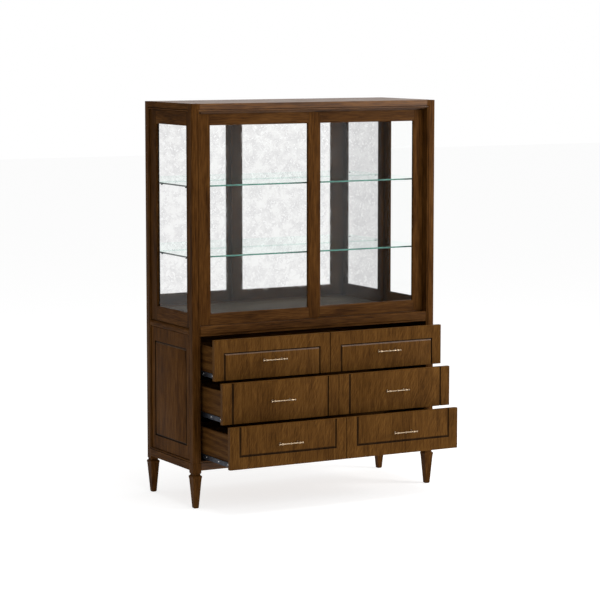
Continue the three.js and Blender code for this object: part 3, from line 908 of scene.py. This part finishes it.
def relief_into(bm, across, up, line_across, line_up, place, thickness):
    """Plate whose show face has a raised field inside a sunk line, given by the line's outer edges.

    Where such an edge lies beyond the plate, the line runs off that end. The line's outer wall is square and its
    inner side slopes up to the field."""
    open_low = line_up[0] < up[0]
    open_high = line_up[1] > up[1]
    rings = [
        (LINE_FLOOR + LINE_SLOPE + CROWN_WIDTH, 0),
        (LINE_FLOOR + LINE_SLOPE, CROWN_DEPTH),
        (LINE_FLOOR, LINE_DEPTH),
        (0, LINE_DEPTH),
        (0, 0),
    ]
    loops = []
    for inset, depth in rings:
        low = up[0] if open_low else line_up[0] + inset
        high = up[1] if open_high else line_up[1] - inset
        a = (line_across[0] + inset, line_across[1] - inset)
        loops.append([bm.verts.new(place(u, v, depth)) for u, v in rectangle(a, (low, high))])
    edge = rectangle(across, up)
    loops.append([bm.verts.new(place(a, b, 0)) for a, b in edge])
    back = [bm.verts.new(place(a, b, thickness)) for a, b in edge]
    bm.faces.new(loops[0])
    for index, (here, there) in enumerate(zip(loops, loops[1:])):
        for side in range(4):
            if (side == 0 and open_low) or (side == 2 and open_high):
                continue
            after = (side + 1) % 4
            face = bm.faces.new((here[side], here[after], there[after], there[side]))
            # The line's floor and outer wall take slot 2, the near-black copy: painted shade in the sunk line
            face.material_index = (0, SLOPE_SHADE_AND_SHEEN[side], 2, 2, 0)[index]
    rim = loops[-1]
    for side in range(4):
        after = (side + 1) % 4
        corners = [rim[side], rim[after]]
        if side == 0 and open_low:
            corners = [loop[0] for loop in loops[::-1]] + [loop[1] for loop in loops]
        if side == 2 and open_high:
            corners = [loop[2] for loop in loops[::-1]] + [loop[3] for loop in loops]
        bm.faces.new([*corners, back[after], back[side]])
    bm.faces.new(back[::-1])


# ---------------------------------------------------------------- drawers


def build_front(drawer):
    """One front across the whole drawer, with the lines of two tall panels and a seam between them."""
    node = f"{drawer}_front"
    low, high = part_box(node)
    bm = bmesh.new()
    for _, side in HANDS:
        end = outer((low.x, high.x), side)
        plate = sorted((side * SEAM_HALF, end))
        line = sorted((side * LINE_INNER, end - side * LINE_OUTER))
        relief_into(bm, plate, (low.z, high.z), line, LINE_Z, front_place(low.y), high.y - low.y)
    add_piece(node, bm, drawer, [front_wood, *RELIEF_WOODS], (node,), "front_wood", 0.8 * MM)
    # A near-black board at the back of the seam: painted shade in the gap
    x = (-SEAM_HALF - MM, SEAM_HALF + MM)
    y = (low.y + SEAM_DEPTH, high.y - MM)
    z = (low.z + MM, high.z - MM)
    board(f"{drawer}_seam", x, y, z, drawer, front_recess_shade, slot="front_wood", bevel=0.3 * MM)


def build_box(drawer):
    low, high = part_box(f"{drawer}_box")
    inner_x = (low.x + BOX_WALL, high.x - BOX_WALL)
    inner_y = (low.y + BOX_WALL, high.y - BOX_WALL)
    wall_z = (low.z, high.z)

    def part(name, x, y, z, wood, bevel=2 * MM, stands_for=()):
        board(f"{drawer}_{name}", x, y, z, drawer, wood, stands_for=stands_for, slot="box_wood", bevel=bevel)

    part("side_left", (low.x, inner_x[0]), (low.y, high.y), wall_z, box_wood, stands_for=(f"{drawer}_box",))
    part("side_right", (inner_x[1], high.x), (low.y, high.y), wall_z, box_wood)
    part("wall_front", inner_x, (low.y, inner_y[0]), wall_z, box_wood_across)
    part("wall_back", inner_x, (inner_y[1], high.y), (low.z, high.z - BACK_WALL_DROP), box_wood_across)
    part("floor", inner_x, inner_y, (low.z + MM, low.z + BOX_FLOOR), box_wood_across, 0.5 * MM)


def add_screw(bm, centre, axis, outward, radius=SCREW_RADIUS):
    """Pan head, its flat back at the centre given."""
    steps = ((1, 0), (1, 0.35), (0.86, 0.75), (0.5, 1), (0, 1))
    profile = [(across * radius, outward * along * SCREW_HEIGHT) for across, along in steps]
    lathe_into(bm, profile, centre, axis, 16)


def build_slides(drawer):
    """Channels fixed to the case, and runners with their screws that move with the drawer."""
    for hand, side in HANDS:
        node = f"{drawer}_channel_{hand}"
        low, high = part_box(node)
        outer_x = outer((low.x, high.x), side)
        depth = high.x - low.x
        size = high.z - low.z
        section = [
            (0, 0),
            (depth, 0),
            (depth, CHANNEL_LIP),
            (depth - STEEL, CHANNEL_LIP),
            (depth - STEEL, STEEL),
            (STEEL, STEEL),
            (STEEL, size - STEEL),
            (depth - STEEL, size - STEEL),
            (depth - STEEL, size - CHANNEL_LIP),
            (depth, size - CHANNEL_LIP),
            (depth, size),
            (0, size),
        ]
        placed = [(outer_x - side * a, low.z + b) for a, b in section]
        rail(node, placed, "Y", (low.y, high.y), "cabinet", steel, "steel", 0.45 * MM)
        node = f"{drawer}_runner_{hand}"
        low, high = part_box(node)
        outer_x = outer((low.x, high.x), side)
        depth = high.x - low.x
        size = high.z - low.z
        section = [
            (0, size),
            (0, size - STEEL),
            (RUNNER_WEB, size - STEEL),
            (RUNNER_WEB, 0),
            (depth, 0),
            (depth, STEEL),
            (RUNNER_WEB + RUNNER_FLANGE, STEEL),
            (RUNNER_WEB + RUNNER_FLANGE, size),
        ]
        placed = [(outer_x - side * a, low.z + b) for a, b in section]
        rail(node, placed, "Y", (low.y, high.y), drawer, steel, "steel", 0.45 * MM)
        bm = bmesh.new()
        z = low.z + RUNNER_SCREW_HEIGHT * size
        for along in RUNNER_SCREWS:
            add_screw(bm, (outer_x - side * RUNNER_WEB, low.y + along, z), "X", side)
        add_piece(f"{drawer}_runner_screws_{hand}", bm, drawer, [bright_zinc], slot="steel")


def pull_profile(half):
    """Turned rod, as (radius, distance from its middle) in millimetres, stretched to the given half length."""
    right = [
        (5.0, 0),
        (4.9, 0.9),
        (4.5, 1.9),
        (3.7, 2.9),
        (2.4, 3.6),
        (2.1, 4.6),
        (2.2, 8),
        (2.5, 16),
        (2.8, 25),
        (2.7, 32),
        (2.3, 38.5),
        (2.1, 41.5),
        (2.8, 42.4),
        (4.4, 43.2),
        (4.8, 44.4),
        (4.8, 51.6),
        (4.4, 52.8),
        (2.4, 53.6),
        (2.1, 60),
        (2.4, 61.6),
        (4.2, 62.6),
        (4.7, 64.2),
        (4.5, 65.9),
        (3.5, 67.3),
        (1.9, 67.9),
    ]
    scale = half / (68 * MM)
    right = [(radius * MM, along * MM * scale) for radius, along in right] + [(0, half)]
    left = [(radius, -along) for radius, along in right[:0:-1]]
    return left + right


def build_pulls(drawer):
    front_low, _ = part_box(f"{drawer}_front")
    for hand, _ in HANDS:
        node = f"{drawer}_pull_{hand}"
        low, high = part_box(node)
        half = (high.x - low.x) / 2
        x = (low.x + high.x) / 2
        z = (low.z + high.z) / 2
        rod_y = low.y + ROD_OFFSET
        bm = bmesh.new()
        lathe_into(bm, pull_profile(half), (x, rod_y, z), "X", 24)
        reach = front_low.y - rod_y
        for side in (-1, 1):
            post = [
                (0, 0),
                (PULL_POST_NECK, 0),
                (PULL_POST_NECK, reach - 7 * MM),
                (PULL_POST_RADIUS, reach - 5 * MM),
                (5.2 * MM, reach - 2.2 * MM),
                (5.6 * MM, reach - 1.2 * MM),
                (5.6 * MM, reach),
                (0, reach),
            ]
            lathe_into(bm, post, (x + side * PULL_POST_SPACING / 2, rod_y, z), "Y", 20)
        add_piece(node, bm, drawer, [brass], (node,), "brass", sharp=50)


# ---------------------------------------------------------------- shelves and fittings


# Radius and distance from the sash, in millimetres
PIN_PROFILE = [(0, 0), (2.5, 0), (2.5, 8), (2.1, 9), (0, 9)]


def sash_inner_x(hand, side):
    low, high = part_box(f"side_sash_{hand}")
    return outer((low.x, high.x), -side)


def build_shelves():
    """Glass shelves, with a finish of its own on each edge, on steel pins."""
    for node in ("shelf_upper", "shelf_lower"):
        low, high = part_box(node)
        bm = bmesh.new()
        board_into(bm, (low.x, high.x), (low.y, high.y), (low.z, high.z))
        bm.normal_update()
        for face in bm.faces:
            if face.normal.y < -0.5:
                face.material_index = 1
            elif abs(face.normal.x) > 0.5:
                face.material_index = 2
            elif face.normal.y > 0.5:
                face.material_index = 3
        glasses = [shelf_glass, glass_edge, glass_end, shelf_back_edge]
        add_piece(node, bm, "cabinet", glasses, (node,), "glass", bevel=1.2 * MM)
        bm = bmesh.new()
        for hand, side in HANDS:
            pin = [(radius * MM, -side * along * MM) for radius, along in PIN_PROFILE]
            for y in (low.y + PIN_FROM_FRONT, high.y - PIN_FROM_BACK):
                lathe_into(bm, pin, (sash_inner_x(hand, side), y, low.z - PIN_DROP), "X", 14)
        add_piece(f"{node}_pins", bm, "cabinet", [steel], slot="steel")


def build_mirror_strips():
    """Quarter-round strips up the back corners of the display, with a thin near-black strip where each meets the
    sash: a painted shadow line.
    """
    mirror_low, mirror_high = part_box("mirror")
    for hand, side in HANDS:
        wall = sash_inner_x(hand, side)

        def placed(section, wall=wall, side=side):
            return [(wall - side * a, mirror_low.y - b) for a, b in section]

        bm = bmesh.new()
        round_part = [(0, 0), *arc((0, 0), STRIP_SIZE, 0, 90, 8)]
        add_prism(bm, placed(round_part), "Z", mirror_low.z, mirror_high.z)
        # Thin near-black strip along the sash: painted shadow line
        shade_line = rectangle((0, SHADE_LINE_DEPTH), (STRIP_SIZE, STRIP_SIZE + SHADE_LINE_WIDTH))
        add_prism(bm, placed(shade_line), "Z", mirror_low.z, mirror_high.z, 1)
        add_piece(f"mirror_strip_{hand}", bm, "cabinet", [case_wood["Z"], front_recess_shade], slot="case_wood")


def build_back_screws():
    low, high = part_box("back_panel")
    bm = bmesh.new()
    for x in (low.x + BACK_SCREW_INSET, high.x - BACK_SCREW_INSET):
        for step in range(7):
            z = low.z + BACK_SCREW_END + step * (high.z - low.z - 2 * BACK_SCREW_END) / 6
            add_screw(bm, (x, high.y, z), "Y", 1, BACK_SCREW_RADIUS)
    for step in range(1, 6):
        x = low.x + step * (high.x - low.x) / 6
        for z in (low.z + BACK_SCREW_INSET, high.z - BACK_SCREW_INSET):
            add_screw(bm, (x, high.y, z), "Y", 1, BACK_SCREW_RADIUS)
    add_piece("back_screws", bm, "cabinet", [bright_zinc], slot="steel")


# ---------------------------------------------------------------- studio


def build_floor():
    bm = bmesh.new()
    bm.faces.new([bm.verts.new((FLOOR_HALF * a, FLOOR_HALF * b, 0)) for a, b in CORNERS])
    mesh = bpy.data.meshes.new("studio_floor")
    bm.to_mesh(mesh)
    bm.free()
    material, graph = new_material("studio_paper")
    shader = graph.principled()
    shader.inputs["Base Color"].default_value = (0.5, 0.5, 0.5, 1)
    shader.inputs["Roughness"].default_value = 0.9
    shader.inputs["Specular IOR Level"].default_value = 0
    shader.inputs["Emission Color"].default_value = (1, 1, 1, 1)
    shader.inputs["Emission Strength"].default_value = PAPER_GLOW
    mesh.materials.append(material)
    floor = bpy.data.objects.new("studio_floor", mesh)
    bpy.context.scene.collection.objects.link(floor)


def build_world():
    """White studio, with one side that reflections see dim."""
    world = bpy.data.worlds.new("studio")
    bpy.context.scene.world = world
    graph = Graph(world, "ShaderNodeOutputWorld")
    background = graph.nodes.new("ShaderNodeBackground")
    background.inputs["Color"].default_value = (1, 1, 1, 1)
    graph.links.new(background.outputs[0], graph.surface)
    leftward = graph.nodes.new("ShaderNodeVectorMath")
    leftward.operation = "DOT_PRODUCT"
    graph.links.new(graph.nodes.new("ShaderNodeTexCoord").outputs["Generated"], leftward.inputs[0])
    leftward.inputs[1].default_value = (-1, 0, 0)
    ray = graph.nodes.new("ShaderNodeLightPath").outputs
    glossy = graph.times(graph.spread(leftward.outputs["Value"], (-0.3, 0.3), (1.0, DIM_SIDE)), ray["Is Glossy Ray"])
    diffuse = graph.spread(ray["Is Glossy Ray"], (0, 1), (FILL_LIGHT, 0))
    strength = graph.math("MAXIMUM", graph.plus(glossy, diffuse), ray["Is Camera Ray"])
    graph.links.new(strength, background.inputs["Strength"])


def add_softbox(name, location, target, size, power):
    light = bpy.data.lights.new(name, "AREA")
    light.shape = "RECTANGLE"
    light.size, light.size_y = size
    light.energy = power
    lamp = bpy.data.objects.new(name, light)
    lamp.location = location
    lamp.rotation_euler = (Vector(target) - Vector(location)).to_track_quat("-Z", "Y").to_euler()
    bpy.context.scene.collection.objects.link(lamp)


def build_camera():
    camera = bpy.data.cameras.new("camera")
    camera.lens = CAMERA_LENS
    camera.sensor_width = SENSOR_WIDTH
    camera.clip_end = CAMERA_REACH
    eye = bpy.data.objects.new("camera", camera)
    eye.location = CAMERA_PLACE
    level = math.cos(CAMERA_PITCH)
    look = Vector((math.sin(CAMERA_YAW) * level, math.cos(CAMERA_YAW) * level, -math.sin(CAMERA_PITCH)))
    eye.rotation_euler = look.to_track_quat("-Z", "Y").to_euler()
    bpy.context.scene.collection.objects.link(eye)
    bpy.context.scene.camera = eye


build_camera()
for post in POSTS:
    build_post(post)
build_beads()
build_rails()
build_legs()
build_sill_and_track()
build_boards()
build_doors()
build_sashes()
build_side_panels()
for drawer in DRAWERS:
    build_front(drawer)
    build_box(drawer)
    build_slides(drawer)
    build_pulls(drawer)
build_shelves()
build_mirror_strips()
build_back_screws()
build_floor()
build_world()
for name, settings in SOFTBOXES.items():
    add_softbox(name, *settings)
bpy.context.scene.view_settings.view_transform = "Standard"
